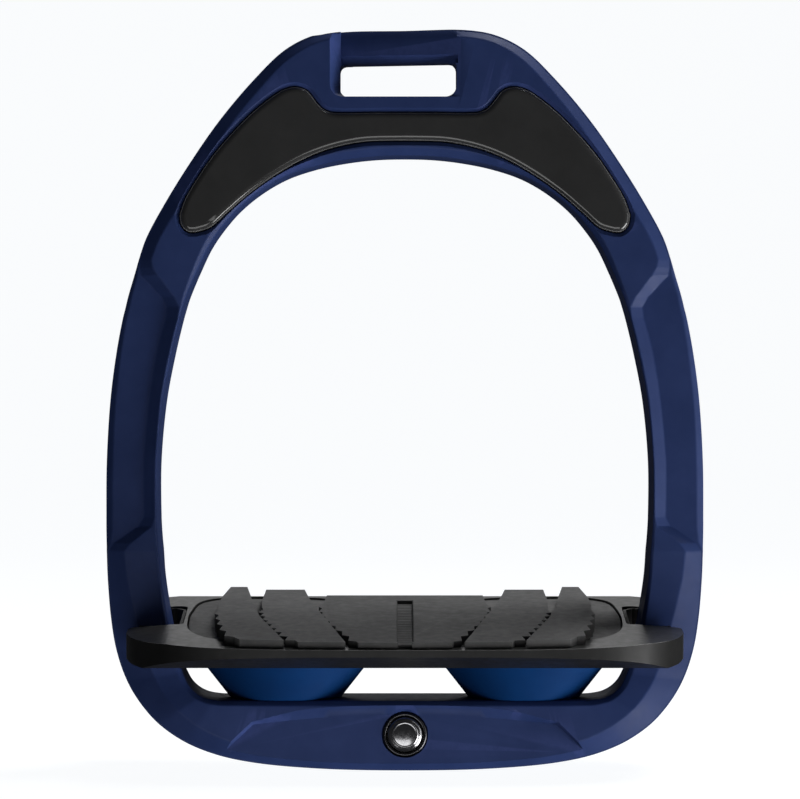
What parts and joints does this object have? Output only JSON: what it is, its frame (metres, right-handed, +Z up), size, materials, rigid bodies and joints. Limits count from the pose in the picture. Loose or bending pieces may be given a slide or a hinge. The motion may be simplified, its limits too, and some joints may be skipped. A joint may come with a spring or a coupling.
{
  "type": "stirrup iron",
  "caption": "Flexible stirrup iron: moulded branch with an oblique strap eye, forked tread on rubber cones, serrated grip pad.",
  "frame": {"origin": "middle of the underside of the eye bar, where the stirrup leather bears", "axes": "+Z up the iron, +Y away from the decorated front, +X to the right seen from that front"},
  "size_m": [0.1446, 0.0683, 0.1789],
  "materials": {
    "branch_navy": "satin moulded composite, navy",
    "insert_gloss_black": "polished",
    "magnet_nickel": "nickel plated",
    "badge_chrome": "dark chrome",
    "badge_lens": "domed resin over dark metal",
    "rubber_blue": "satin elastomer, dark blue",
    "zinc_steel": "zinc plated",
    "screw_steel": "stainless",
    "tread_black": "satin gloss, black",
    "grip_rubber": "fine grain, dark grey",
    "rubber_black": "matt"
  },
  "bodies": {
    "frame": {"branch": "branch_navy", "arch_insert": "insert_gloss_black", "insert_magnet_left": "magnet_nickel", "insert_magnet_centre": "magnet_nickel", "insert_magnet_right": "magnet_nickel", "badge_cup": "badge_chrome", "badge_dome": "badge_lens", "buffer_base_disc_left": "zinc_steel", "buffer_base_disc_right": "zinc_steel", "base_washer_left": "zinc_steel", "base_washer_right": "zinc_steel", "base_screw_left": "screw_steel", "base_screw_right": "screw_steel"},
    "buffer_left": {"elastomer_left": "rubber_blue"},
    "buffer_right": {"elastomer_right": "rubber_blue"},
    "tread": {"tread_plate": "tread_black", "grip_pad": "grip_rubber", "notch_bumper_left": "rubber_black", "notch_bumper_right": "rubber_black", "buffer_top_disc_left": "zinc_steel", "buffer_top_disc_right": "zinc_steel", "tread_screw_left": "screw_steel", "tread_screw_right": "screw_steel", "pad_screw_left_toe": "screw_steel", "pad_screw_right_toe": "screw_steel", "pad_screw_left_heel": "screw_steel", "pad_screw_right_heel": "screw_steel"}
  },
  "joints": [
    {"name": "tread_bounce", "type": "slide", "parent": "frame", "child": "buffer_left", "axis": [0, 0, 1], "range_m": [-0.002, 0], "stiffness_N_per_m": 20000, "deforming": ["elastomer_left", "elastomer_right"]},
    {"name": "tread_roll", "type": "hinge", "parent": "buffer_left", "child": "buffer_right", "pos_m": [0, 0, -0.138], "axis": [0, 1, 0], "range_deg": [-1.5, 1.5], "stiffness_Nm_per_rad": 20},
    {"name": "tread_pitch", "type": "hinge", "parent": "buffer_right", "child": "tread", "pos_m": [0, 0, -0.138], "axis": [1, 0, 0], "range_deg": [-1.8, 1.8], "stiffness_Nm_per_rad": 15}
  ]
}
